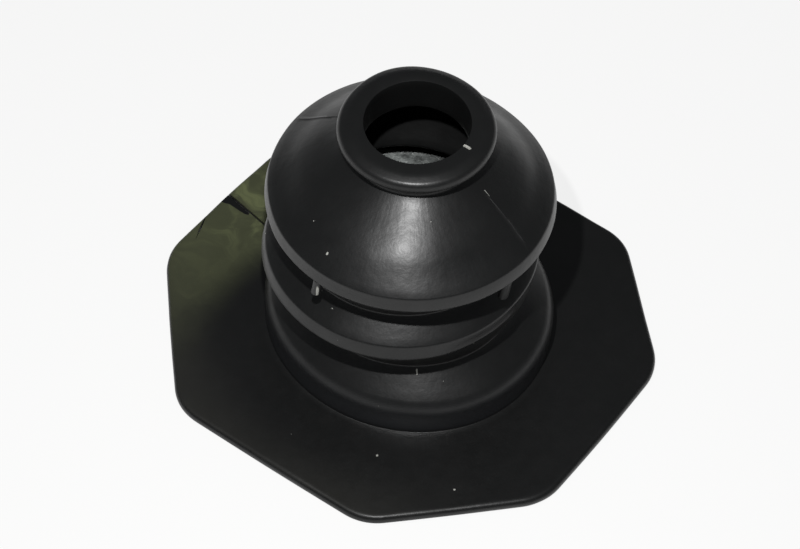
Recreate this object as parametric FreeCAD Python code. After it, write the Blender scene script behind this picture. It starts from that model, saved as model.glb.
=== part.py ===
import FreeCAD, Part
import math
import os

# Rubber bellows boot, moulded in one piece: an octagonal flange that lies flat, three folds
# that rise from it, and a thick collar with a bore at the top. All sizes are in millimetres.
# The origin is on the bellows axis at the underside of the flange, and +Z points up.

# Flange: how far each of its eight straight sides lies from the bellows axis. East is +X
# and north is +Y. The outline isn't regular: the north-east side comes closest to the axis.
east_side = 78.4
north_east_side = 70.3
north_side = 77.0
north_west_side = 79.7
west_side = 78.6
south_west_side = 73.7
south_side = 77.3
south_east_side = 78.1
flange_thickness = 3.0
flange_corner_radius = 18.0
flange_edge_bevel = 0.5

# Folds: every fold has a sloping shoulder on top, an upright rim, and an underside that runs
# steeply inward to the narrow root above the next fold. The lowest fold is a taller dome.
wall = 2.6
shoulder_angle = 36.0
root_radius = 36.2
root_height = 1.6
top_fold_radius = 46.4
middle_fold_radius = 45.3
dome_radius = 47.0
dome_shoulder_height = 15.0
middle_fold_rise = 29.2
top_fold_rise = 27.2
rim_height = 3.2
rim_rounding = 3.6
dome_bevel = 3.1
dome_foot_bevel = 1.2

# Collar: a thick ring with a rounded outer lip on a short neck.
bore_radius = 16.5
neck_radius = 19.6
neck_height = 5.9
collar_radius = 24.6
collar_height = 5.2
lip_rounding = 4.0
bore_edge_bevel = 0.4

# Slit through the flange: it starts just outside the foot of the bellows and runs out through
# the north-west side, leaning off the line of the radius.
slit_angle = 137.0
slit_slant = 11.2
slit_width = 0.7
slit_foot_gap = 3.5

# Torn place along the slit, at its mouth: a shallow wedge in the flange's top face.
torn_width = 4.2
torn_length = 11.0
torn_depth = 1.2

# Tear in the north-west edge: a narrow wedge that runs inward at a small angle.
tear_start = 9.3
tear_length = 10.9
tear_width = 1.5
tear_slant = 21.0

# Small pegs moulded under the rim of the top fold.
peg_angles = (-137.0, -58.0)
peg_radius = 1.5
peg_drop = 6.0
peg_inset = 2.9


def rounded_outline(corners):
    """Closed wire in the XZ plane through (radius, height, rounding) corners."""
    count = len(corners)
    points = [FreeCAD.Vector(c[0], 0, c[1]) for c in corners]
    ends = []
    for i in range(count):
        here = points[i]
        back = (points[i - 1] - here).normalize()
        ahead = (points[(i + 1) % count] - here).normalize()
        rounding = corners[i][2]
        if rounding <= 0:
            ends.append((here, None, here))
            continue
        half = back.getAngle(ahead) / 2
        reach = rounding / math.tan(half)
        middle = here + (back + ahead).normalize() * (rounding / math.sin(half) - rounding)
        ends.append((here + back * reach, middle, here + ahead * reach))
    edges = []
    for i in range(count):
        first, middle, last = ends[i]
        if middle is not None:
            edges.append(Part.Arc(first, middle, last).toShape())
        start = ends[(i + 1) % count][0]
        if last.distanceToPoint(start) > 1e-6:
            edges.append(Part.makeLine(last, start))
    return Part.Wire(edges)


def turned(corners):
    """Solid of revolution about the bellows axis."""
    face = Part.Face(rounded_outline(corners))
    return face.revolve(FreeCAD.Vector(0, 0, 0), FreeCAD.Vector(0, 0, 1), 360)


def inner_line(start, end):
    """Line through two outer points, moved inward by the wall: (point, direction)."""
    length = math.hypot(end[0] - start[0], end[1] - start[1])
    along = ((end[0] - start[0]) / length, (end[1] - start[1]) / length)
    return (start[0] + along[1] * wall, start[1] - along[0] * wall), along


def meet(first, second):
    """Corner where two such lines cross."""
    (ax, az), (adx, adz) = first
    (bx, bz), (bdx, bdz) = second
    cross = adx * bdz - adz * bdx
    step = ((bx - ax) * bdz - (bz - az) * bdx) / cross
    return ax + adx * step, az + adz * step


def upright(radius):
    """Vertical line at a given radius."""
    return (radius, 0.0), (0.0, -1.0)


# Heights that follow from the folds. Each root starts where the shoulder below it, carried
# inward and up at the shoulder angle, reaches the root radius.
slope = math.tan(math.radians(shoulder_angle))
middle_fold_height = dome_shoulder_height + middle_fold_rise
top_fold_height = middle_fold_height + top_fold_rise
lower_root_height = dome_shoulder_height + (dome_radius - root_radius) * slope
upper_root_height = middle_fold_height + (middle_fold_radius - root_radius) * slope
neck_foot_height = top_fold_height + (top_fold_radius - neck_radius) * slope
collar_underside = neck_foot_height + neck_height
total_height = collar_underside + collar_height

# Corners of the outer section, from the collar down to the flange.
neck_foot = (neck_radius, neck_foot_height)
top_shoulder = (top_fold_radius, top_fold_height)
top_rim = (top_fold_radius, top_fold_height - rim_height)
upper_root_top = (root_radius, upper_root_height + root_height)
upper_root_foot = (root_radius, upper_root_height)
middle_shoulder = (middle_fold_radius, middle_fold_height)
middle_rim = (middle_fold_radius, middle_fold_height - rim_height)
lower_root_top = (root_radius, lower_root_height + root_height)
lower_root_foot = (root_radius, lower_root_height)
dome_edge_top = (dome_radius - dome_bevel * math.cos(math.radians(shoulder_angle)),
                 dome_shoulder_height + dome_bevel * math.sin(math.radians(shoulder_angle)))
dome_edge_foot = (dome_radius, dome_shoulder_height - dome_bevel)
foot_radius = dome_radius + dome_foot_bevel

outer_body = turned([
    (0.0, total_height, 0),
    (collar_radius, total_height, lip_rounding),
    (collar_radius, collar_underside, 0),
    (neck_radius, collar_underside, 0),
    neck_foot + (0,),
    top_shoulder + (rim_rounding,),
    top_rim + (0,),
    upper_root_top + (0,),
    upper_root_foot + (0,),
    middle_shoulder + (rim_rounding,),
    middle_rim + (0,),
    lower_root_top + (0,),
    lower_root_foot + (0,),
    dome_edge_top + (0,),
    dome_edge_foot + (0,),
    (dome_radius, flange_thickness + dome_foot_bevel, 0),
    (foot_radius, flange_thickness, 0),
    (foot_radius, 0.0, 0),
    (0.0, 0.0, 0),
])

# The cavity follows the outer section one wall thickness inside it, so the folds are hollow.
# It is open at the top through the bore, whose edge is bevelled, and at the bottom through
# the flange.
under_cone = inner_line(neck_foot, top_shoulder)
under_top_fold = inner_line(top_rim, upper_root_top)
under_middle_shoulder = inner_line(upper_root_foot, middle_shoulder)
under_middle_fold = inner_line(middle_rim, lower_root_top)
under_dome = inner_line(lower_root_foot, dome_edge_top)
under_dome_edge = inner_line(dome_edge_top, dome_edge_foot)
inside_root = upright(root_radius - wall)
inside_dome = upright(dome_radius - wall)
cavity = turned([
    (0.0, total_height + 1, 0),
    (bore_radius + bore_edge_bevel, total_height + 1, 0),
    (bore_radius + bore_edge_bevel, total_height, 0),
    (bore_radius, total_height - bore_edge_bevel, 0),
    meet(upright(bore_radius), under_cone) + (0,),
    meet(under_cone, under_top_fold) + (0,),
    meet(under_top_fold, inside_root) + (0,),
    meet(inside_root, under_middle_shoulder) + (0,),
    meet(under_middle_shoulder, under_middle_fold) + (0,),
    meet(under_middle_fold, inside_root) + (0,),
    meet(inside_root, under_dome) + (0,),
    meet(under_dome, under_dome_edge) + (0,),
    meet(under_dome_edge, inside_dome) + (0,),
    (dome_radius - wall, 0.0, 0),
    (0.0, 0.0, 0),
])

# Flange plate: eight side lines, each at its own distance from the axis, meet in eight
# corners. The upright corners are rounded, and then the top and bottom edges are broken.
side_distances = [east_side, north_east_side, north_side, north_west_side,
                  west_side, south_west_side, south_side, south_east_side]
side_lines = []
for i, distance in enumerate(side_distances):
    angle = math.radians(45.0 * i)
    side_lines.append(((distance * math.cos(angle), distance * math.sin(angle)),
                       (-math.sin(angle), math.cos(angle))))
plate_corners = []
for i in range(len(side_lines)):
    x, y = meet(side_lines[i - 1], side_lines[i])
    plate_corners.append(FreeCAD.Vector(x, y, 0))
outline = Part.makePolygon(plate_corners + plate_corners[:1])
plate = Part.Face(outline).extrude(FreeCAD.Vector(0, 0, flange_thickness))
upright_edges = [e for e in plate.Edges if e.BoundBox.ZLength > flange_thickness / 2]
plate = plate.makeFillet(flange_corner_radius, upright_edges)
level_edges = [e for e in plate.Edges if e.BoundBox.ZLength < flange_thickness / 2]
plate = plate.makeChamfer(flange_edge_bevel, level_edges)

boot = plate.fuse(outer_body).removeSplitter()

# Pegs hang from the sloping underside of the top fold. Each starts inside the wall.
peg_circle = top_fold_radius - peg_inset
underside_rise = (top_rim[1] - upper_root_top[1]) / (top_rim[0] - upper_root_top[0])
peg_root_height = top_rim[1] - peg_inset * underside_rise
for angle in peg_angles:
    x = peg_circle * math.cos(math.radians(angle))
    y = peg_circle * math.sin(math.radians(angle))
    tip = FreeCAD.Vector(x, y, peg_root_height - peg_drop)
    boot = boot.fuse(Part.makeCylinder(peg_radius, peg_drop + wall, tip))

boot = boot.cut(cavity)

# Slit, cut right through the flange. It is made along the x axis, then leaned over about its
# inner end, and then turned round the boot to its place.
up = FreeCAD.Vector(0, 0, 1)
slit_start = FreeCAD.Vector(foot_radius + slit_foot_gap, 0, 0)
slit = Part.makeBox(2 * north_west_side, slit_width, 3 * flange_thickness,
                    slit_start + FreeCAD.Vector(0, -slit_width / 2, -flange_thickness))
slit_end = Part.makeCylinder(slit_width / 2, 3 * flange_thickness,
                             slit_start + FreeCAD.Vector(0, 0, -flange_thickness))
slit = slit.fuse(slit_end)

# Torn place: widest at the edge, and narrowing along the slit to a blunt end.
mouth = north_west_side
torn = Part.Face(Part.makePolygon([
    FreeCAD.Vector(mouth + torn_width, 0, flange_thickness - torn_depth),
    FreeCAD.Vector(mouth + torn_width, torn_width, flange_thickness - torn_depth),
    FreeCAD.Vector(mouth - torn_length / 2, torn_width * 0.6, flange_thickness - torn_depth),
    FreeCAD.Vector(mouth - torn_length, torn_width * 0.4, flange_thickness - torn_depth),
    FreeCAD.Vector(mouth - torn_length, 0, flange_thickness - torn_depth),
    FreeCAD.Vector(mouth + torn_width, 0, flange_thickness - torn_depth),
])).extrude(FreeCAD.Vector(0, 0, 2 * torn_depth))
for shape in (slit, torn):
    shape.rotate(slit_start, up, -slit_slant)
    shape.rotate(FreeCAD.Vector(0, 0, 0), up, slit_angle)

# Tear: a thin wedge that starts outside the edge and crosses it. It is made against a side
# square to the x axis, and then turned to the north-west side.
crossing = FreeCAD.Vector(north_west_side, tear_start, -flange_thickness)
inward = FreeCAD.Vector(-math.sin(math.radians(tear_slant)), math.cos(math.radians(tear_slant)), 0)
outward = FreeCAD.Vector(inward.y, -inward.x, 0)
outer_end = crossing - inward * (tear_length / 2)
tear = Part.Face(Part.makePolygon([
    outer_end,
    crossing + inward * tear_length,
    outer_end + outward * tear_width,
    outer_end,
])).extrude(FreeCAD.Vector(0, 0, 3 * flange_thickness))
tear.rotate(FreeCAD.Vector(0, 0, 0), up, 135.0)

boot = boot.cut([slit, torn, tear])

os.makedirs("parts", exist_ok=True)
boot.Solids[0].exportStep("parts/bellows_boot.step")
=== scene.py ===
import math

import bmesh
import bpy
from mathutils import Matrix, Vector


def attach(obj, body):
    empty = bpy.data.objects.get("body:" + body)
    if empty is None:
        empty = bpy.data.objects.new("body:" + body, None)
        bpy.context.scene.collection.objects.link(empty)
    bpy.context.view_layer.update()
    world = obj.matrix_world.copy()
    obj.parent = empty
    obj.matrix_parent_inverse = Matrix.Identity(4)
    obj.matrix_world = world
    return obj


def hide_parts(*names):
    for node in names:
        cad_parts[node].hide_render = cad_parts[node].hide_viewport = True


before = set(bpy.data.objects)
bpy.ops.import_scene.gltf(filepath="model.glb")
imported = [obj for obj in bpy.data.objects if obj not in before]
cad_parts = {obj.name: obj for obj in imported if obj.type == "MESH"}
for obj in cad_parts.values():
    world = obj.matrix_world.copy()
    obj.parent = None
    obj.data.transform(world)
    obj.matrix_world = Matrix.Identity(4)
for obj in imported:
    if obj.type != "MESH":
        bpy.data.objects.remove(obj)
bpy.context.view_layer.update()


# Moulded boot, folds and collar: one piece of carbon-black rubber, pressed in a two-part
# mould that opened across the slit. The skin starts as a ring at the foot of the lowest fold
# and is drawn up over the folds, over the lip, and down again inside, one wall further in.
MM = 0.001               # sizes are in millimetres, and the mesh is in metres
NEAR = 0.02              # a point this near to a ring is on it
COLUMNS = 360
WALL = 2.6
SHOULDER = math.radians(36.0)
FLANGE_TOP = 3.0
BORE = 16.5
NECK = 19.6
COLLAR = 24.6
TOP_FOLD = 46.4
MIDDLE_FOLD = 45.3
DOME = 47.0
ROOT = 35.5
DOME_HEIGHT = 15.0
MIDDLE_HEIGHT = DOME_HEIGHT + 29.2
TOP_HEIGHT = MIDDLE_HEIGHT + 27.2
RIM = 3.2
SLOPE = math.tan(SHOULDER)
LOWER_ROOT_HEIGHT = DOME_HEIGHT + (DOME - ROOT) * SLOPE
UPPER_ROOT_HEIGHT = MIDDLE_HEIGHT + (MIDDLE_FOLD - ROOT) * SLOPE
NECK_FOOT = TOP_HEIGHT + (TOP_FOLD - NECK) * SLOPE
UNDER_COLLAR = NECK_FOOT + 5.9
COLLAR_TOP = UNDER_COLLAR + 5.2


def turn_between(before, corner, after):
    """Angle by which a section turns at a corner."""
    first = math.atan2(corner[1] - before[1], corner[0] - before[0])
    second = math.atan2(after[1] - corner[1], after[0] - corner[0])
    return abs(math.atan2(math.sin(second - first), math.cos(second - first)))


def inside(start, end):
    """Line one wall inside the line from start to end, as a point and a direction."""
    length = math.hypot(end[0] - start[0], end[1] - start[1])
    across = ((end[0] - start[0]) / length, (end[1] - start[1]) / length)
    return (start[0] - across[1] * WALL, start[1] + across[0] * WALL), across


def crossing(first, second):
    """Where two such lines cross."""
    (ax, az), (adx, adz) = first
    (bx, bz), (bdx, bdz) = second
    step = ((bx - ax) * bdz - (bz - az) * bdx) / (adx * bdz - adz * bdx)
    return ax + adx * step, az + adz * step


FOOT_ROUNDING = 0.25
MOUTH_ROUNDING = 0.5
# Corners of the section, as radius and height. Against the drawn folds, the roots stand a
# little higher, the rims lean in, and the cone bends and flares, as this soft boot's do.
foot = (DOME, FLANGE_TOP)
dome_edge = (DOME, DOME_HEIGHT)
lower_root = (ROOT, LOWER_ROOT_HEIGHT + 0.6)
middle_lower = (MIDDLE_FOLD - 0.4, MIDDLE_HEIGHT - RIM)
middle_upper = (MIDDLE_FOLD, MIDDLE_HEIGHT)
middle_edge = (MIDDLE_FOLD - 1.5, MIDDLE_HEIGHT + 1.9)
upper_root = (ROOT, UPPER_ROOT_HEIGHT + 1.1)
top_lower = (TOP_FOLD - 0.4, TOP_HEIGHT - RIM)
top_upper = (TOP_FOLD, TOP_HEIGHT)
top_edge = (TOP_FOLD - 1.4, TOP_HEIGHT + 1.6)
top_flare = (TOP_FOLD - 7.5, TOP_HEIGHT + 5.65)
cone_bend = (33.5, TOP_HEIGHT + 10.15)
neck_foot = (NECK, NECK_FOOT)
bore_wall = ((BORE, 0.0), (0.0, 1.0))
inner_cone = inside(top_upper, neck_foot)
inner_top_fold = inside(upper_root, top_lower)
inner_middle_shoulder = inside(middle_upper, upper_root)
inner_middle_fold = inside(lower_root, middle_lower)
inner_dome_shoulder = inside(dome_edge, lower_root)
inner_dome = ((DOME - WALL, 0.0), (0.0, 1.0))

# (corner, rounding radius, facets of the rounding)
section = [
    (foot, FOOT_ROUNDING, 2),
    (dome_edge, 7.0, 8),
    (lower_root, 0.7, 3),
    (middle_lower, 1.2, 3),
    (middle_edge, 1.3, 3),
    (upper_root, 0.7, 3),
    (top_lower, 1.2, 3),
    (top_edge, 1.3, 3),
    (top_flare, 30.0, 4),
    (cone_bend, 60.0, 5),
    (neck_foot, 1.2, 3),
    ((NECK, UNDER_COLLAR + 0.6), 1.2, 3),
    ((COLLAR, UNDER_COLLAR + 0.6), 1.0, 4),
    ((COLLAR, COLLAR_TOP - 1.3), 2.2, 7),
    ((COLLAR - 3.6, COLLAR_TOP), 5.0, 5),
    ((BORE, COLLAR_TOP), 0.2, 2),
    (crossing(bore_wall, inner_cone), 0.5, 2),
    (crossing(inner_cone, inner_top_fold), 1.5, 3),
    (crossing(inner_top_fold, inner_middle_shoulder), 1.0, 3),
    (crossing(inner_middle_shoulder, inner_middle_fold), 1.5, 3),
    (crossing(inner_middle_fold, inner_dome_shoulder), 1.0, 3),
    (crossing(inner_dome_shoulder, inner_dome), 4.4, 4),
    ((DOME - WALL, 0.0), MOUTH_ROUNDING, 2),
]

bpy.ops.object.select_all(action="DESELECT")
bpy.ops.mesh.primitive_circle_add(vertices=COLUMNS, radius=foot[0] * MM,
                                  location=(0, 0, foot[1] * MM))
boot = bpy.context.object
boot.name = "rubber_boot"
bpy.ops.object.transform_apply(location=True, rotation=True, scale=True)
bpy.ops.object.mode_set(mode="EDIT")
bpy.ops.mesh.select_mode(type="EDGE")
bpy.ops.mesh.select_all(action="SELECT")
radius, height = foot
for (next_radius, next_height), _, _ in section[1:]:
    bpy.ops.mesh.extrude_edges_move(
        TRANSFORM_OT_translate={"value": (0, 0, (next_height - height) * MM)})
    bpy.ops.transform.resize(value=(next_radius / radius, next_radius / radius, 1),
                             center_override=(0, 0, 0))
    radius, height = next_radius, next_height


def select_edges(wanted, add=False):
    """Selects, in edit mode, the edges that are wanted, or adds them to the selected ones."""
    if not add:
        bpy.ops.mesh.select_all(action="DESELECT")
    mesh = bmesh.from_edit_mesh(boot.data)
    for edge in mesh.edges:
        if wanted(edge):
            edge.select = True
    mesh.select_flush_mode()
    bmesh.update_edit_mesh(boot.data)


def select_ring(radius, height, add=False):
    """Selects the level edges at one radius and height."""
    select_edges(lambda edge: all(abs(v.co.z / MM - height) < NEAR
                                  and abs(v.co.xy.length / MM - radius) < NEAR
                                  for v in edge.verts), add)


def round_off(offset, facets):
    """Rounds the selected edges, with flanks of the given width in millimetres."""
    bpy.ops.mesh.bevel(offset_type="OFFSET", offset=offset * MM, segments=facets, profile=0.5,
                       affect="EDGES", clamp_overlap=False)


for before, (corner, rounding, facets), after in zip(section, section[1:], section[2:]):
    select_ring(*corner)
    round_off(rounding * math.tan(turn_between(before[0], corner, after[0]) / 2), facets)


def runs_up(edge):
    """Whether an edge follows the section, with both ends at one azimuth."""
    first, second = [math.atan2(v.co.y, v.co.x) for v in edge.verts]
    return abs(math.sin(first - second)) < 1e-4


# The long bands between the roundings are divided, so that the skin can bend.
BAND = 2.4
mesh = bmesh.from_edit_mesh(boot.data)
lengths = {round(edge.calc_length() / MM, 1) for edge in mesh.edges
           if runs_up(edge) and edge.calc_length() > 1.5 * BAND * MM}
for length in sorted(lengths):
    select_edges(lambda edge: runs_up(edge) and round(edge.calc_length() / MM, 1) == length)
    bpy.ops.mesh.subdivide(number_cuts=round(length / BAND) - 1)


# Flange of the same moulding: an eight-sided sheet, 3 mm thick, with rounded corners. It is
# drawn out from the base mouth along the underside, up its edge, and back in to the foot.
CORNER = 18.0
# Each side, from the right one round by the back: its distance from the axis, its turn in
# degrees, and how far its middle bulges
SIDES = (78.4, 70.3, 77.0, 79.7, 78.6, 73.7, 77.3, 78.1)
SIDE_TURNS = (1.1, 1.0, 0.0, -1.2, -1.1, 1.8, 0.2, 0.0)
SIDE_SWELL = (0.0, 0.2, 0.0, 0.5, 0.3, 0.2, 0.3, 0.5)
# (height, rounding) of the sheet's two rims
EDGES = [(0.0, 0.7), (FLANGE_TOP, 1.7)]


def side_normal(i):
    """Direction in which a side of the flange looks."""
    azimuth = math.radians(45 * (i % 8) + SIDE_TURNS[i % 8])
    return Vector((math.cos(azimuth), math.sin(azimuth)))


def outline_reach(azimuth):
    """Distance from the axis to the flange's outline, in millimetres."""
    ray = Vector((math.cos(azimuth), math.sin(azimuth)))
    facing = [(SIDES[i], ray.dot(side_normal(i))) for i in range(8)]
    reach = min(distance / share for distance, share in facing if share > 0.3)
    for i in range(8):
        first, second = side_normal(i), side_normal(i + 1)
        a, b = SIDES[i] - CORNER, SIDES[(i + 1) % 8] - CORNER
        cross = first.x * second.y - first.y * second.x
        centre = Vector((a * second.y - b * first.y, b * first.x - a * second.x)) / cross
        start, end = centre + first * CORNER, centre + second * CORNER
        along = ray.dot(centre)
        if start.x * ray.y - start.y * ray.x > 0 > end.x * ray.y - end.y * ray.x and along > 0:
            reach = along + math.sqrt(CORNER ** 2 - centre.length_squared + along ** 2)
    nearest = azimuth / math.radians(45) % 8
    swell = SIDE_SWELL[round(nearest) % 8] * math.cos(math.pi * (nearest - round(nearest)))
    return reach + swell


def put_ring(inner, share, height):
    """Puts the selected ring a share of the way from a radius to the outline, at a height."""
    mesh = bmesh.from_edit_mesh(boot.data)
    for v in mesh.verts:
        if v.select:
            azimuth = math.atan2(v.co.y, v.co.x)
            reach = (inner + (outline_reach(azimuth) - inner) * share) * MM
            v.co = (reach * math.cos(azimuth), reach * math.sin(azimuth), height * MM)
    bmesh.update_edit_mesh(boot.data)


# (radius at the inner end, share of the way out, height): underside, edge, top
mouth_radius = DOME - WALL
steps = [(mouth_radius, k / 8, 0.0) for k in range(1, 9)]
steps += [(mouth_radius, 1.0, FLANGE_TOP)]
steps += [(DOME, k / 14, FLANGE_TOP) for k in range(13, 0, -1)]
select_ring(mouth_radius, 0.0)
for inner, share, height in steps:
    bpy.ops.mesh.extrude_edges_move()
    put_ring(inner, share, height)
select_ring(*foot, add=True)
bpy.ops.mesh.bridge_edge_loops()


def on_outline(v, height):
    """Whether a point of the mesh is on the flange's outline at a height."""
    return (abs(v.co.z / MM - height) < NEAR
            and abs(v.co.xy.length / MM - outline_reach(math.atan2(v.co.y, v.co.x))) < NEAR)


# The foot, the mouth and the rims of the flange are rounded like the rest.
select_ring(*foot)
round_off(FOOT_ROUNDING, 2)
select_ring(mouth_radius, 0.0)
round_off(MOUTH_ROUNDING, 2)
for height, rounding in EDGES:
    select_edges(lambda edge: all(on_outline(v, height) for v in edge.verts))
    round_off(rounding, 5)
bpy.ops.mesh.select_all(action="SELECT")
bpy.ops.mesh.remove_doubles(threshold=0.01 * MM)
bpy.ops.mesh.normals_make_consistent(inside=False)
bpy.ops.object.mode_set(mode="OBJECT")


# Parting line: the two halves of the mould met here. The fin of flash between them was
# trimmed, and left a low ridge up the cone on both sides, and a tag on the bore's edge.
PARTING = (-43.0, 137.0)
RIDGE_START, RIDGE_END = 26.5, 44.0
RIDGE_HALF_WIDTH = 0.36      # in degrees
RIDGE_HEIGHT = 0.16
CONE_SKIN = 0.6              # the outer skin is this near to the straight cone, the inner isn't
# The columns of points are a degree apart: the one on the line is lifted, and those beside it
# close up to it.
for v in boot.data.vertices:
    reach, height = v.co.xy.length / MM, v.co.z / MM
    along_cone = (reach - NECK) / (top_edge[0] - NECK)
    over_cone = height - (NECK_FOOT + (top_edge[1] - NECK_FOOT) * along_cone)
    if not (RIDGE_START < reach < RIDGE_END and abs(over_cone) < CONE_SKIN):
        continue
    azimuth = math.degrees(math.atan2(v.co.y, v.co.x))
    for line in PARTING:
        off = (azimuth - line + 180) % 360 - 180
        if 0.5 < abs(off) < 1.5:
            turned_to = math.radians(line + math.copysign(RIDGE_HALF_WIDTH, off))
            v.co.x = reach * math.cos(turned_to) * MM
            v.co.y = reach * math.sin(turned_to) * MM
        elif abs(off) < 0.5:
            lifted = reach + RIDGE_HEIGHT * math.sin(SHOULDER)
            v.co.x *= lifted / reach
            v.co.y *= lifted / reach
            v.co.z += RIDGE_HEIGHT * math.cos(SHOULDER) * MM

TAG_AZIMUTH = math.radians(-41.0)
TAG_REACH = 17.9
TAG_SIZE = (2.3, 0.7, 0.9)
TAG_ROUNDING = 0.18
bpy.ops.object.select_all(action="DESELECT")
bpy.ops.mesh.primitive_cube_add(size=1.0, location=(0, 0, 0))
tag = bpy.context.object
tag.scale = [size * MM for size in TAG_SIZE]
tag.rotation_euler = (0, 0, TAG_AZIMUTH)
tag.location = (TAG_REACH * math.cos(TAG_AZIMUTH) * MM, TAG_REACH * math.sin(TAG_AZIMUTH) * MM,
                COLLAR_TOP * MM)
bpy.ops.object.transform_apply(location=True, rotation=True, scale=True)
bpy.ops.object.mode_set(mode="EDIT")
bpy.ops.mesh.select_all(action="SELECT")
bpy.ops.mesh.bevel(offset=TAG_ROUNDING * MM, segments=2, affect="EDGES")
bpy.ops.object.mode_set(mode="OBJECT")


# Pegs: two blunt nubs under the rim of the top fold, one front left and one front right.
# They are moulded in one with the boot, and the ends that hang down are rounded.
PEG_RADIUS = 1.6
PEG_ROUNDING = 0.6
PEG_TOP_HEIGHT = 66.6
# (azimuth, height of the tip)
PEGS = [(-138.5, 59.9), (-55.0, 57.6)]
PEG_CIRCLE = TOP_FOLD - 2.9
nubs = [tag]
for angle, tip_height in PEGS:
    bpy.ops.object.select_all(action="DESELECT")
    bpy.ops.mesh.primitive_cylinder_add(
        vertices=32, radius=PEG_RADIUS * MM, depth=(PEG_TOP_HEIGHT - tip_height) * MM,
        location=(PEG_CIRCLE * math.cos(math.radians(angle)) * MM,
                  PEG_CIRCLE * math.sin(math.radians(angle)) * MM,
                  (PEG_TOP_HEIGHT + tip_height) / 2 * MM))
    peg = bpy.context.object
    bpy.ops.object.transform_apply(location=True, rotation=True, scale=True)
    bpy.ops.object.mode_set(mode="EDIT")
    bpy.ops.mesh.select_all(action="DESELECT")
    mesh = bmesh.from_edit_mesh(peg.data)
    for face in mesh.faces:
        face.select = face.normal.z < -0.9
    bmesh.update_edit_mesh(peg.data)
    bpy.ops.mesh.bevel(offset=PEG_ROUNDING * MM, segments=4, affect="EDGES")
    bpy.ops.object.mode_set(mode="OBJECT")
    nubs.append(peg)


def join_or_cut(shape, operation):
    """Joins a shape to the boot, or takes it out of the boot, and removes it."""
    bpy.context.view_layer.objects.active = boot
    change = boot.modifiers.new("change", "BOOLEAN")
    change.operation = operation
    change.solver = "EXACT"
    change.object = shape
    bpy.ops.object.modifier_apply(modifier=change.name)
    bpy.data.objects.remove(shape)


bpy.ops.object.select_all(action="DESELECT")
for nub in nubs:
    nub.select_set(True)
bpy.context.view_layer.objects.active = nubs[0]
bpy.ops.object.join()
join_or_cut(nubs[0], "UNION")


# How the soft rubber has settled: each level of the folds has moved a little to one side and
# lost some of its roundness. The lowest fold is stretched along the line of the slit.
OVAL_AZIMUTH = math.radians(131.0)
# (height, shift in x and y, size, stretch of the oval)
SETTLED = [
    (0.0, 0.0, 0.0, 1.0, 0.039),
    (15.0, 0.3, 0.3, 1.006, 0.040),
    (24.0, -0.8, 0.2, 1.0, 0.034),
    (42.6, -2.4, 0.0, 0.997, 0.005),
    (52.0, -1.6, -0.3, 1.0, 0.004),
    (69.8, 0.0, -0.8, 0.992, 0.013),
    (90.0, 1.4, -0.4, 1.0, 0.0),
    (102.0, 1.7, -0.3, 0.99, 0.0),
]
# The middle fold's rim is tucked in from a kink at its front right, round to the right side,
# and starts to go in a little before the kink.
KINK = -47.0
TUCK_END = 5.0
TUCK = 2.2
# The cone is a little fuller at its front left, and the top fold and the collar are pressed
# in at the back right.
FULLER_AZIMUTH = math.radians(-129.0)
FULLER = 1.8
PRESSED_AZIMUTH = math.radians(42.0)
PRESSED = 1.0


def ease(value, start, end):
    """0 before start, 1 after end, and smooth between."""
    share = min(max((value - start) / (end - start), 0.0), 1.0)
    return share * share * (3 - 2 * share)


def settled(height):
    """Shift, size and stretch at a height, eased between the levels."""
    for low_level, high_level in zip(SETTLED, SETTLED[1:]):
        if height <= high_level[0]:
            share = ease(height, low_level[0], high_level[0])
            return [a + (b - a) * share for a, b in zip(low_level[1:], high_level[1:])]
    return SETTLED[-1][1:]


skin = boot.vertex_groups.new(name="skin")
for v in boot.data.vertices:
    x, y, z = v.co / MM
    reach = math.hypot(x, y)
    azimuth = math.atan2(y, x)
    out_on_flange = ease(reach, 50.0, 68.0) * (1 - ease(z, 4.0, 8.0))
    shift_x, shift_y, size, stretch = settled(z)
    grow = size + stretch * math.cos(2 * (azimuth - OVAL_AZIMUTH))
    grow = 1 + (grow - 1) * (1 - out_on_flange)
    degrees = math.degrees(azimuth)
    tucked = ease(degrees, KINK, KINK + 5) * (1 - ease(degrees, TUCK_END - 25, TUCK_END))
    tucked += 0.4 * ease(degrees, -88.0, -62.0) * (1 - ease(degrees, KINK, KINK + 5))
    tucked *= ease(reach, 38.0, 42.0) * ease(z, 36.0, 40.5) * (1 - ease(z, 42.5, 45.5))
    fuller = max(math.cos(azimuth - FULLER_AZIMUTH), 0.0) ** 3
    fuller *= ease(z, 71.0, 78.0) * (1 - ease(z, 79.0, 91.0))
    pressed = max(math.cos(azimuth - PRESSED_AZIMUTH), 0.0) ** 4
    pressed *= ease(z, 56.0, 67.0) * ease(reach, 16.6, 24.0)
    new_reach = reach * grow - TUCK * tucked + FULLER * fuller - PRESSED * pressed
    v.co.x = (new_reach * math.cos(azimuth) + shift_x * (1 - out_on_flange)) * MM
    v.co.y = (new_reach * math.sin(azimuth) + shift_y * (1 - out_on_flange)) * MM
    skin.add([v.index], ease(z, 0.3, 2.6), "REPLACE")

# The moulded skin isn't quite even: broad, shallow swells that bend the highlights.
SWELL_WIDTH = 24.0
SWELL_DEPTH = 0.6
bpy.context.view_layer.objects.active = boot
swell = bpy.data.textures.new("swell", "CLOUDS")
swell.noise_scale = SWELL_WIDTH * MM
swell.noise_depth = 1
uneven = boot.modifiers.new("uneven", "DISPLACE")
uneven.texture = swell
uneven.texture_coords = "LOCAL"
uneven.vertex_group = "skin"
uneven.strength = SWELL_DEPTH * MM
uneven.mid_level = 0.5
bpy.ops.object.modifier_apply(modifier=uneven.name)


# Slit, torn place and tear: the slit was cut through the flange for fitting, the torn place
# is where a layer has come off beside it, and the tear is a short split in the same side.
SLIT_START = DOME + 3.5
SLIT_ANGLE = 137.0
SLIT_SLANT = 11.2
TORN_DEPTH = 0.7
TEAR_ANGLE = 135.0
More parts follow.
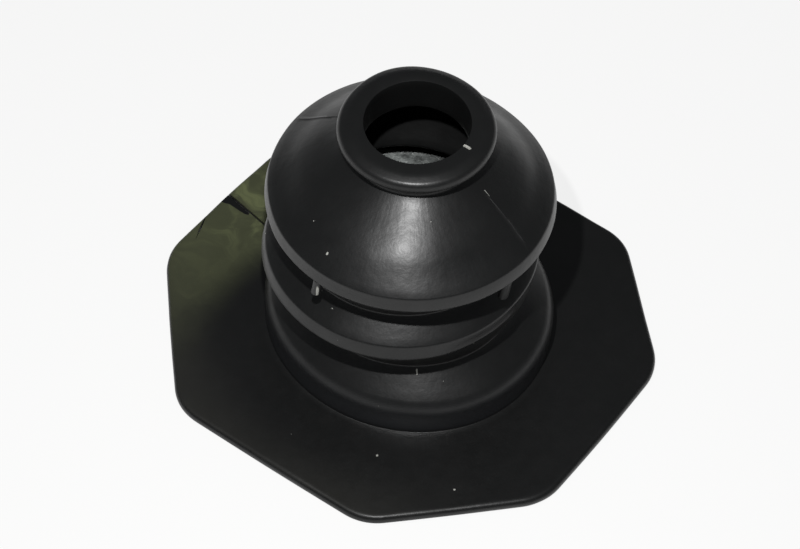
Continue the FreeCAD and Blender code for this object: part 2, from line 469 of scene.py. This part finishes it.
# Where the tear crosses the flange's edge, from the middle of the side
TEAR_START = 9.3
TEAR_LENGTH = 10.9
TEAR_SLANT = 21.0


def blade(plan, foot_plan, bottom, top, turns):
    """Cutter from a plan in millimetres at its foot to one at its top, turned to its place."""
    bpy.ops.object.select_all(action="DESELECT")
    bpy.ops.mesh.primitive_circle_add(vertices=len(plan), radius=MM, fill_type="NGON")
    cutter = bpy.context.object
    for v, (x, y) in zip(cutter.data.vertices, plan):
        v.co = (x * MM, y * MM, bottom * MM)
    bpy.ops.object.mode_set(mode="EDIT")
    bpy.ops.mesh.select_all(action="SELECT")
    bpy.ops.mesh.extrude_region_move(TRANSFORM_OT_translate={"value": (0, 0, (top - bottom) * MM)})
    bpy.ops.mesh.select_all(action="SELECT")
    bpy.ops.mesh.normals_make_consistent(inside=False)
    bpy.ops.object.mode_set(mode="OBJECT")
    for v in cutter.data.vertices:
        if v.co.z / MM < bottom + 0.1:
            nearest = min(range(len(plan)), key=lambda k: (v.co.xy / MM - Vector(plan[k])).length)
            v.co.x, v.co.y = foot_plan[nearest][0] * MM, foot_plan[nearest][1] * MM
    for centre, degrees in turns:
        place = Vector((centre * MM, 0, 0))
        turn = Matrix.Rotation(math.radians(degrees), 4, "Z")
        cutter.data.transform(Matrix.Translation(place) @ turn @ Matrix.Translation(-place))
    return cutter


to_slit = [(SLIT_START, -SLIT_SLANT), (0.0, SLIT_ANGLE)]
edge = SIDES[3]
slit_plan = [(SLIT_START, 0.0), (SLIT_START + 0.8, -0.4), (62, -0.5), (70, -0.45),
             (edge - 3, -0.4), (edge + 6, -0.2), (edge + 6, 0.2), (edge - 3, 0.4), (71, 0.45),
             (61, 0.5), (SLIT_START + 0.8, 0.4)]
# The slit and the tear gape at the top and nearly close at the underside.
slit_foot = [(x, y * 0.35) for x, y in slit_plan]
torn_plan = [(edge + 4.2, 0.0), (edge + 4.2, 4.6), (edge - 1.5, 3.9), (edge - 3.4, 2.9),
             (edge - 5.6, 2.6), (edge - 8.4, 2.2), (edge - 10.2, 1.9), (edge - 11.3, 1.2),
             (edge - 10.6, 0.0)]
crossing_point = Vector((edge, TEAR_START))
inward = Vector((-math.sin(math.radians(TEAR_SLANT)), math.cos(math.radians(TEAR_SLANT))))
outward = Vector((inward.y, -inward.x))
tear_plan = [crossing_point - inward * 5.4, crossing_point + inward * 0.5 - outward * 0.2,
             crossing_point + inward * 5.0 - outward * 0.45, crossing_point + inward * TEAR_LENGTH,
             crossing_point + inward * 5.0 + outward * 0.5,
             crossing_point - inward * 0.5 + outward * 0.3]
tear_foot = [point * 0.2 + (crossing_point + inward * inward.dot(point - crossing_point)) * 0.8
             for point in tear_plan]
join_or_cut(blade(slit_plan, slit_foot, -1.5, 5, to_slit), "DIFFERENCE")
join_or_cut(blade(torn_plan, torn_plan, FLANGE_TOP - TORN_DEPTH, 8, to_slit), "DIFFERENCE")
join_or_cut(blade(tear_plan, tear_foot, -1.0, 4.5, [(0.0, TEAR_ANGLE)]), "DIFFERENCE")
bpy.ops.object.select_all(action="DESELECT")
boot.select_set(True)
bpy.context.view_layer.objects.active = boot
bpy.ops.object.shade_smooth_by_angle(angle=math.radians(38))

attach(boot, "root")
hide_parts("bellows_boot")


# Finish of the rubber: carbon-black moulding compound, with the half-gloss of a worn mould.
# It shows faint flow streaks up the folds and a few light scars and specks. Over them is painted
# light:
# an olive reflection on the flange near the slit, a paler left border on the flange, paler low parts
# of the lowest fold, a highlight on the ledge inside, and glints on the left peg and the lowest
# fold.
def linear(code):
    """sRGB hex colour as linear RGBA."""
    parts = [int(code[i:i + 2], 16) / 255 for i in (1, 3, 5)]
    return [p / 12.92 if p <= 0.04045 else ((p + 0.055) / 1.055) ** 2.4 for p in parts] + [1.0]


def put(tree, kind, inputs=(), **settings):
    """Adds a node: its settings by name, its sockets' values or links by socket."""
    node = tree.nodes.new(kind)
    for name, value in settings.items():
        setattr(node, name, value)
    for socket, value in dict(inputs).items():
        if isinstance(value, bpy.types.NodeSocket):
            tree.links.new(value, node.inputs[socket])
        else:
            node.inputs[socket].default_value = value
    return node


rubber = bpy.data.materials.new("moulded_black_rubber")
rubber.use_nodes = True
tree = rubber.node_tree
shader = tree.nodes["Principled BSDF"]
FOLD_REACH = 36.0            # about how far the folds are from the axis
# Every pattern below is in millimetres: flow streaks 2.2 wide, clouds of the mixing 16, the
# mottle of handling 4.5, and the mould's grain, drawn at 0.7 so that it shows, though the real
# grain is finer.
metres = put(tree, "ShaderNodeTexCoord").outputs["Object"]
place = put(tree, "ShaderNodeVectorMath", {0: metres, "Scale": 1000.0},
            operation="SCALE").outputs["Vector"]
axes = put(tree, "ShaderNodeSeparateXYZ", {0: place})
flat = put(tree, "ShaderNodeCombineXYZ", {0: axes.outputs[0], 1: axes.outputs[1]}).outputs[0]
reach = put(tree, "ShaderNodeVectorMath", {0: flat}, operation="LENGTH").outputs["Value"]
around = put(tree, "ShaderNodeVectorMath", {0: flat}, operation="NORMALIZE").outputs["Vector"]
around = put(tree, "ShaderNodeVectorMath", {0: around, "Scale": FOLD_REACH},
             operation="SCALE").outputs["Vector"]
drop = put(tree, "ShaderNodeMath", {0: axes.outputs[2], 1: 0.12}, operation="MULTIPLY").outputs[0]
drop = put(tree, "ShaderNodeCombineXYZ", {2: drop}).outputs[0]
# The streaks run up the folds, about eight times as long as they are wide.
streak_place = put(tree, "ShaderNodeVectorMath", {0: around, 1: drop},
                   operation="ADD").outputs["Vector"]
streaks = put(tree, "ShaderNodeTexNoise", {"Vector": streak_place, "Scale": 1 / 2.2, "Detail": 3.0,
                                           "Roughness": 0.6}).outputs["Fac"]
clouds = put(tree, "ShaderNodeTexNoise", {"Vector": place, "Scale": 1 / 16, "Detail": 4.0,
                                          "Roughness": 0.55}).outputs["Fac"]
mottle = put(tree, "ShaderNodeTexNoise", {"Vector": place, "Scale": 1 / 4.5, "Detail": 3.0,
                                          "Roughness": 0.6}).outputs["Fac"]
grain = put(tree, "ShaderNodeTexNoise", {"Vector": place, "Scale": 1 / 0.7, "Detail": 2.0,
                                         "Roughness": 0.5}).outputs["Fac"]

# Painted reflection: an olive sheen painted on the flange's top, strongest beside the slit and
# broken into curls.
PAINTED_REFLECTION_CENTRE = (-60.0, 62.0, 3.0)
PAINTED_REFLECTION_WANDER = (26.0, 26.0, 0.0)
warp = put(tree, "ShaderNodeTexNoise", {"Vector": place, "Scale": 1 / 18,
                                        "Detail": 2.0}).outputs["Color"]
warp = put(tree, "ShaderNodeVectorMath", {0: warp, 1: (0.5, 0.5, 0.5)},
           operation="SUBTRACT").outputs["Vector"]
warped = put(tree, "ShaderNodeVectorMath", {0: warp, 1: PAINTED_REFLECTION_WANDER, 2: place},
             operation="MULTIPLY_ADD").outputs["Vector"]
off = put(tree, "ShaderNodeVectorMath", {0: warped, 1: PAINTED_REFLECTION_CENTRE},
          operation="DISTANCE").outputs["Value"]
painted_olive_reflection = put(tree, "ShaderNodeMapRange", {"Value": off, "From Min": 82.0, "From Max": 16.0},
           interpolation_type="SMOOTHSTEP").outputs["Result"]
# Round to the left of the slit, the painted reflection keeps further and further away from the
# lowest fold.
beside = put(tree, "ShaderNodeVectorMath", {0: place, 1: (0.32, 0.32, 0.0)},
             operation="DOT_PRODUCT").outputs["Value"]
beside = put(tree, "ShaderNodeMath", {0: beside, 1: 0.0}, operation="MINIMUM").outputs[0]
beside = put(tree, "ShaderNodeMath", {0: beside, 1: reach}, operation="ADD").outputs[0]
away_from_foot = put(tree, "ShaderNodeMapRange", {"Value": beside, "From Min": 42.0,
                                                  "From Max": 57.0},
                     interpolation_type="SMOOTHSTEP").outputs["Result"]
below_folds = put(tree, "ShaderNodeMapRange", {"Value": axes.outputs[2], "From Min": 6.0,
                                               "From Max": 3.6}).outputs["Result"]
on_top = put(tree, "ShaderNodeMapRange", {"Value": axes.outputs[2], "From Min": 2.35,
                                          "From Max": 2.75}).outputs["Result"]
on_top = put(tree, "ShaderNodeMath", {0: below_folds, 1: on_top}, operation="MULTIPLY").outputs[0]
painted_olive_reflection = put(tree, "ShaderNodeMath", {0: painted_olive_reflection, 1: away_from_foot}, operation="MULTIPLY").outputs[0]
painted_olive_reflection = put(tree, "ShaderNodeMath", {0: painted_olive_reflection, 1: on_top}, operation="MULTIPLY").outputs[0]
curls = put(tree, "ShaderNodeTexNoise", {"Vector": warped, "Scale": 1 / 9, "Detail": 4.0,
                                         "Roughness": 0.55, "Distortion": 1.4}).outputs["Fac"]
curls = put(tree, "ShaderNodeMapRange", {"Value": curls, "From Min": 0.3, "From Max": 0.7,
                                         "To Min": 0.72, "To Max": 1.0}).outputs["Result"]
painted_olive_reflection = put(tree, "ShaderNodeMath", {0: painted_olive_reflection, 1: curls}, operation="MULTIPLY").outputs[0]
curl_tops = put(tree, "ShaderNodeMapRange", {"Value": curls, "From Min": 0.8, "From Max": 1.0},
                interpolation_type="SMOOTHSTEP").outputs["Result"]
# The tops of the curls are painted paler close to the inner end of the slit, the brightest part of
# the painted reflection.
CURLS_CENTRE = (-47.0, 54.0, 3.0)
close = put(tree, "ShaderNodeVectorMath", {0: place, 1: CURLS_CENTRE},
            operation="DISTANCE").outputs["Value"]
close = put(tree, "ShaderNodeMapRange", {"Value": close, "From Min": 24.0, "From Max": 6.0},
            interpolation_type="SMOOTHSTEP").outputs["Result"]
curl_tops = put(tree, "ShaderNodeMath", {0: curl_tops, 1: close}, operation="MULTIPLY").outputs[0]

# Painted light: the flange's top is painted paler along its left and front border, standing in for
# light from the left.
LEFTWARD = Vector((-0.97, -0.24, 0.0))
border = put(tree, "ShaderNodeMapRange", {"Value": reach, "From Min": 58.0, "From Max": 82.0,
                                          "To Max": 0.18},
             interpolation_type="SMOOTHSTEP").outputs["Result"]
leftward = put(tree, "ShaderNodeVectorMath", {0: around, 1: LEFTWARD / FOLD_REACH},
               operation="DOT_PRODUCT").outputs["Value"]
leftward = put(tree, "ShaderNodeMapRange", {"Value": leftward, "From Min": 0.0, "From Max": 0.8},
               interpolation_type="SMOOTHSTEP").outputs["Result"]
painted_left_light = put(tree, "ShaderNodeMath", {0: border, 1: leftward}, operation="MULTIPLY").outputs[0]
painted_left_light = put(tree, "ShaderNodeMath", {0: painted_left_light, 1: on_top}, operation="MULTIPLY").outputs[0]

# Specks of dust, a third of a millimetre across: one to each 9 mm cell, and few of them lie on
# the surface.
dust = put(tree, "ShaderNodeTexVoronoi", {"Vector": place, "Scale": 1 / 9.0}).outputs["Distance"]
specks_scars_and_glints = put(tree, "ShaderNodeMapRange", {"Value": dust, "From Min": 0.026,
                                          "From Max": 0.016}).outputs["Result"]

# Painted highlight: the ledge inside the middle fold is painted pale where the lamp glints on it,
# brightest at its middle, patchy and crumpled.
INNER_HIGHLIGHT_CENTRE = (-6.0, 38.0, 33.0)
inside_low = put(tree, "ShaderNodeMapRange", {"Value": reach, "From Min": 41.6,
                                              "From Max": 41.0}).outputs["Result"]
ledge = put(tree, "ShaderNodeMapRange", {"Value": axes.outputs[2], "From Min": 24.0,
                                         "From Max": 27.0}).outputs["Result"]
ledge_top = put(tree, "ShaderNodeMapRange", {"Value": axes.outputs[2], "From Min": 40.5,
                                             "From Max": 38.0}).outputs["Result"]
painted_inner_highlight = put(tree, "ShaderNodeMath", {0: ledge, 1: ledge_top}, operation="MULTIPLY").outputs[0]
painted_inner_highlight = put(tree, "ShaderNodeMath", {0: painted_inner_highlight, 1: inside_low}, operation="MULTIPLY").outputs[0]
facing = put(tree, "ShaderNodeNewGeometry").outputs["Normal"]
facing_in = put(tree, "ShaderNodeVectorMath", {0: facing, 1: around},
                operation="DOT_PRODUCT").outputs["Value"]
facing_in = put(tree, "ShaderNodeMath", {0: facing_in, 1: -1.0}, operation="LESS_THAN").outputs[0]
painted_inner_highlight = put(tree, "ShaderNodeMath", {0: painted_inner_highlight, 1: facing_in}, operation="MULTIPLY").outputs[0]
crumple = put(tree, "ShaderNodeTexNoise", {"Vector": place, "Scale": 1 / 3.0, "Detail": 3.0,
                                           "Roughness": 0.65, "Distortion": 0.8}).outputs["Fac"]
crumple = put(tree, "ShaderNodeMath", {0: crumple, 1: painted_inner_highlight}, operation="MULTIPLY").outputs[0]
patchy = put(tree, "ShaderNodeMapRange", {"Value": mottle, "From Min": 0.36, "From Max": 0.6,
                                          "To Min": 0.35}).outputs["Result"]
painted_inner_highlight = put(tree, "ShaderNodeMath", {0: painted_inner_highlight, 1: patchy}, operation="MULTIPLY").outputs[0]
highlight_core = put(tree, "ShaderNodeVectorMath", {0: place, 1: INNER_HIGHLIGHT_CENTRE},
            operation="DISTANCE").outputs["Value"]
highlight_core = put(tree, "ShaderNodeMapRange", {"Value": highlight_core, "From Min": 26.0, "From Max": 7.0,
                                         "To Min": 0.12},
            interpolation_type="SMOOTHSTEP").outputs["Result"]
painted_inner_highlight = put(tree, "ShaderNodeMath", {0: painted_inner_highlight, 1: highlight_core}, operation="MULTIPLY").outputs[0]

# Light scars and painted glints, each at its own place: (start, end, half width). Heights count for
# a quarter, so that a mark reaches the skin where the rubber has settled.
SQUASH = Vector((1.0, 1.0, 0.25))
SCARS_AND_GLINTS = [
    ((14.4, -11.3, 102.0), (15.8, -12.6, 102.0), 0.5),
    ((20.1, -17.3, 86.4), (21.4, -18.6, 85.0), 0.25),
    ((-29.2, -27.6, 76.8), (-29.1, -27.5, 76.8), 0.4),
    ((19.1, -39.4, 17.4), (18.3, -42.4, 15.5), 0.25),
    # Painted glint on the front of the lowest fold, near the shadow's edge
    ((-2.3, -36.3, 22.7), (-2.4, -37.4, 21.7), 0.3),
    # Painted highlights: two strokes down the left peg
    ((-35.0, -29.5, 61.5), (-34.9, -29.3, 65.0), 0.4),
    ((-32.9, -30.9, 60.2), (-32.7, -30.6, 63.0), 0.55),
    ((-17.3, -54.0, 3.0), (-17.2, -53.9, 3.0), 0.4),
    ((5.3, -69.7, 3.0), (5.4, -69.7, 3.0), 0.4),
]
low_place = put(tree, "ShaderNodeVectorMath", {0: place, 1: SQUASH},
                operation="MULTIPLY").outputs["Vector"]
for start, end, size in SCARS_AND_GLINTS:
    start, end = Vector(start) * SQUASH, Vector(end) * SQUASH
    along = end - start
    off = put(tree, "ShaderNodeVectorMath", {0: low_place, 1: start},
              operation="SUBTRACT").outputs["Vector"]
    part = put(tree, "ShaderNodeVectorMath", {0: off, 1: along / along.length_squared},
               operation="DOT_PRODUCT").outputs["Value"]
    part = put(tree, "ShaderNodeClamp", {"Value": part}).outputs[0]
    part = put(tree, "ShaderNodeVectorMath", {0: along, "Scale": part},
               operation="SCALE").outputs["Vector"]
    off = put(tree, "ShaderNodeVectorMath", {0: off, 1: part}, operation="DISTANCE").outputs["Value"]
    spot = put(tree, "ShaderNodeMapRange", {"Value": off, "From Min": size, "From Max": size * 0.6}
               ).outputs["Result"]
    specks_scars_and_glints = put(tree, "ShaderNodeMath", {0: specks_scars_and_glints, 1: spot}, operation="MAXIMUM").outputs[0]

# Painted light: the lowest fold is painted paler low down, standing in for the light on its wall.
painted_foot_light = put(tree, "ShaderNodeMapRange", {"Value": axes.outputs[2], "From Min": 17.0,
                                             "From Max": 8.0}).outputs["Result"]
above = put(tree, "ShaderNodeMapRange", {"Value": axes.outputs[2], "From Min": 3.2,
                                         "From Max": 5.0}).outputs["Result"]
painted_foot_light = put(tree, "ShaderNodeMath", {0: painted_foot_light, 1: above}, operation="MULTIPLY").outputs[0]

# The black of the compound, and over it each layer in its colour: painted light on the lowest fold
# and the flange's left border, the painted olive reflection, the painted highlight inside, and the
# specks, scars and painted glints
painted_reflection_colour = put(tree, "ShaderNodeMix", {"Factor": curl_tops, 6: linear("#4b4f36"),
                                          7: linear("#656b48")}, data_type="RGBA").outputs[2]
body = put(tree, "ShaderNodeMix", {"Factor": clouds, 6: linear("#0f1010"), 7: linear("#151515")},
           data_type="RGBA").outputs[2]
for layer, colour in ((painted_foot_light, linear("#222325")), (painted_left_light, linear("#4a4942")),
                      (painted_olive_reflection, painted_reflection_colour), (painted_inner_highlight, linear("#999e9c")),
                      (specks_scars_and_glints, linear("#a6a6a0"))):
    body = put(tree, "ShaderNodeMix", {"Factor": layer, 6: body, 7: colour},
               data_type="RGBA").outputs[2]
tree.links.new(body, shader.inputs["Base Color"])

# The mottle varies the gloss, and the masks of the painted olive reflection and the painted
# left-side light dull it.
dullness = put(tree, "ShaderNodeMapRange", {"Value": mottle, "From Min": 0.3, "From Max": 0.7,
                                            "To Min": 0.38, "To Max": 0.44}).outputs["Result"]
for layer, duller in ((painted_olive_reflection, 0.2), (painted_left_light, 0.15)):
    dullness = put(tree, "ShaderNodeMath", {0: layer, 1: duller, 2: dullness},
                   operation="MULTIPLY_ADD").outputs[0]
tree.links.new(dullness, shader.inputs["Roughness"])
shader.inputs["Specular IOR Level"].default_value = 0.36
# Oils have come out to the surface and give it a thin, smoother skin of its own.
shader.inputs["Coat Weight"].default_value = 0.12
shader.inputs["Coat Roughness"].default_value = 0.27

# Heights of the fine relief, in millimetres
relief = put(tree, "ShaderNodeMath", {0: streaks, 1: 0.028}, operation="MULTIPLY").outputs[0]
for pattern, height in ((mottle, 0.09), (grain, 0.008), (crumple, 1.2)):
    relief = put(tree, "ShaderNodeMath", {0: pattern, 1: height, 2: relief},
                 operation="MULTIPLY_ADD").outputs[0]
bump = put(tree, "ShaderNodeBump", {"Height": relief, "Strength": 1.0,
                                    "Distance": MM}).outputs["Normal"]
tree.links.new(bump, shader.inputs["Normal"])
tree.links.new(bump, shader.inputs["Coat Normal"])
boot.data.materials.clear()
boot.data.materials.append(rubber)


# Floor: a plain pale sheet of paper that the boot stands on. To the camera and in reflections
# it glows part of the way to white, and the rest is lit, so the boot's shadow stays on it.
GLOW = 0.82
bpy.ops.object.select_all(action="DESELECT")
bpy.ops.mesh.primitive_plane_add(size=6.0, location=(0, 0, 0))
floor = bpy.context.object
floor.name = "floor"
paper = bpy.data.materials.new("pale_paper")
paper.use_nodes = True
tree = paper.node_tree
tree.nodes.clear()
rays = put(tree, "ShaderNodeLightPath")
shown = put(tree, "ShaderNodeMath", {0: rays.outputs["Is Camera Ray"],
                                     1: rays.outputs["Is Glossy Ray"]}, operation="MAXIMUM")
shown = put(tree, "ShaderNodeMath", {0: shown.outputs[0],
                                     1: rays.outputs["Is Transmission Ray"]}, operation="MAXIMUM")
# Under the boot no light falls on it: the glow stops inside the flange's outline.
spot = put(tree, "ShaderNodeTexCoord").outputs["Object"]
spot = put(tree, "ShaderNodeVectorMath", {0: spot}, operation="LENGTH").outputs["Value"]
outside = put(tree, "ShaderNodeMapRange", {"Value": spot, "From Min": 60 * MM,
                                           "From Max": 70 * MM}).outputs["Result"]
share = put(tree, "ShaderNodeMath", {0: shown.outputs[0], 1: GLOW}, operation="MULTIPLY")
share = put(tree, "ShaderNodeMath", {0: share.outputs[0], 1: outside}, operation="MULTIPLY")
WHITE = (1, 1, 1, 1)
lit = put(tree, "ShaderNodeBsdfDiffuse", {"Color": linear("#f4f4f2")})
glow = put(tree, "ShaderNodeEmission", {"Color": WHITE, "Strength": 1.0})
mix = put(tree, "ShaderNodeMixShader", {0: share.outputs[0], 1: lit.outputs[0], 2: glow.outputs[0]})
put(tree, "ShaderNodeOutputMaterial", {"Surface": mix.outputs[0]})
floor.data.materials.append(paper)


# World: the studio round the floor. The camera sees it white, and so do reflections low down
# beyond the boot, while higher up and to the sides they see its grey walls and ceiling. The
# light that fills the shadows is a soft grey.
AWAY = (0.152, 0.988, 0.0)   # the level direction from the camera past the boot
world = bpy.data.worlds.new("studio")
bpy.context.scene.world = world
world.use_nodes = True
tree = world.node_tree
tree.nodes.clear()
rays = put(tree, "ShaderNodeLightPath")
way = put(tree, "ShaderNodeTexCoord").outputs["Generated"]
rise = put(tree, "ShaderNodeSeparateXYZ", {0: way}).outputs[2]
low_down = put(tree, "ShaderNodeMapRange", {"Value": rise, "From Min": 0.09, "From Max": 0.0},
               interpolation_type="SMOOTHSTEP").outputs["Result"]
beyond = put(tree, "ShaderNodeVectorMath", {0: way, 1: AWAY},
             operation="DOT_PRODUCT").outputs["Value"]
beyond = put(tree, "ShaderNodeMapRange", {"Value": beyond, "From Min": 0.4, "From Max": 1.0},
             interpolation_type="SMOOTHSTEP").outputs["Result"]
low_down = put(tree, "ShaderNodeMath", {0: low_down, 1: beyond}, operation="MULTIPLY").outputs[0]
mirrored = put(tree, "ShaderNodeMath", {0: rays.outputs["Is Glossy Ray"],
                                        1: rays.outputs["Is Transmission Ray"]},
               operation="MAXIMUM").outputs[0]
fill = put(tree, "ShaderNodeBackground", {"Color": linear("#d9dadb"), "Strength": 0.42})
ceiling = put(tree, "ShaderNodeBackground", {"Color": linear("#585a5c"), "Strength": 1.0})
white = put(tree, "ShaderNodeBackground", {"Color": WHITE, "Strength": 1.0})
room = put(tree, "ShaderNodeMixShader", {0: low_down, 1: ceiling.outputs[0], 2: white.outputs[0]})
seen = put(tree, "ShaderNodeMixShader", {0: mirrored, 1: fill.outputs[0], 2: room.outputs[0]})
seen = put(tree, "ShaderNodeMixShader", {0: rays.outputs["Is Camera Ray"], 1: seen.outputs[0],
                                         2: white.outputs[0]})
put(tree, "ShaderNodeOutputWorld", {"Surface": seen.outputs[0]})


# Camera: a little left of the front and well above, as the boot was looked at. It is held
# about 0.8 m away, with a long lens, and turned slightly out of level.
AIM = Vector((0.0, 0.0, 45 * MM))
CAMERA_AZIMUTH = math.radians(-8.74)
CAMERA_ELEVATION = math.radians(52.39)
CAMERA_DISTANCE = 798.4 * MM
CAMERA_ROLL = math.radians(1.16)
back = Vector((math.sin(CAMERA_AZIMUTH) * math.cos(CAMERA_ELEVATION),
               -math.cos(CAMERA_AZIMUTH) * math.cos(CAMERA_ELEVATION),
               math.sin(CAMERA_ELEVATION)))
lens = bpy.data.cameras.new("view")
lens.lens = 112.5
lens.sensor_width = 36.0
lens.shift_x = -0.0116
lens.shift_y = -0.0471
camera = bpy.data.objects.new("view", lens)
bpy.context.scene.collection.objects.link(camera)
camera.rotation_mode = "QUATERNION"
camera.location = AIM + back * CAMERA_DISTANCE
camera.rotation_quaternion = ((-back).to_track_quat("-Z", "Y").to_matrix()
                              @ Matrix.Rotation(CAMERA_ROLL, 3, "Z")).to_quaternion()
bpy.context.scene.camera = camera
bpy.context.scene.view_settings.view_transform = "Standard"


# Key light: one small lamp, held close above the boot and a little to the left, so that the
# light falls off down the folds and the shadows under them are crisp.
KEY_AZIMUTH = CAMERA_AZIMUTH - math.radians(7.0)
KEY_ELEVATION = math.radians(62)
KEY_DISTANCE = 400 * MM
KEY_SIZE = 10 * MM
KEY_WATTS = 1.22
key_way = Vector((math.sin(KEY_AZIMUTH) * math.cos(KEY_ELEVATION),
                  -math.cos(KEY_AZIMUTH) * math.cos(KEY_ELEVATION),
                  math.sin(KEY_ELEVATION)))
bpy.ops.object.light_add(type="AREA", location=AIM + key_way * KEY_DISTANCE)
key = bpy.context.object
key.name = "key_light"
key.data.shape = "DISK"
key.data.size = KEY_SIZE
key.data.energy = KEY_WATTS
key.visible_camera = False
key.rotation_mode = "QUATERNION"
key.rotation_quaternion = (-key_way).to_track_quat("-Z", "Y")
